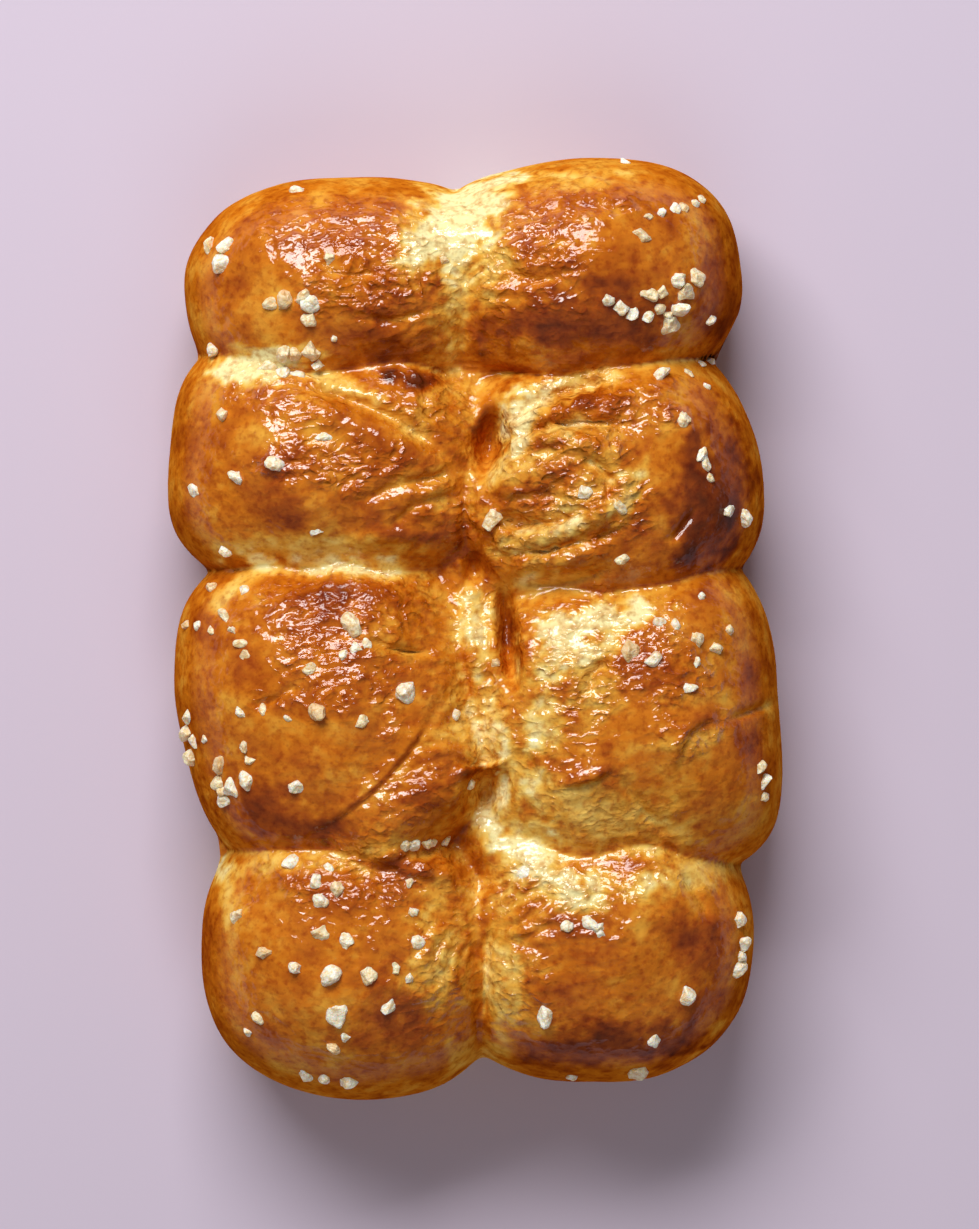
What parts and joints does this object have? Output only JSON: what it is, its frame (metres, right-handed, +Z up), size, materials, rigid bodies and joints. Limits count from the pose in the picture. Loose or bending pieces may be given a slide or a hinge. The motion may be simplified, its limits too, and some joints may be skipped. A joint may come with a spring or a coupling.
{
  "type": "brioche loaf",
  "caption": "Glossy brioche loaf of dough balls baked together in a block, with pearl sugar on its crust.",
  "frame": {"origin": "middle of the flat base, on the surface the loaf rests on", "axes": "+Z up, +Y along the loaf's length towards the end at the picture's top, +X to the picture's right"},
  "size_m": [0.1662, 0.2544, 0.0716],
  "materials": {
    "crust": "glossy egg-washed crust, golden to dark brown, with white pearl sugar"
  },
  "bodies": {
    "root": {"brioche": "crust"}
  },
  "joints": []
}
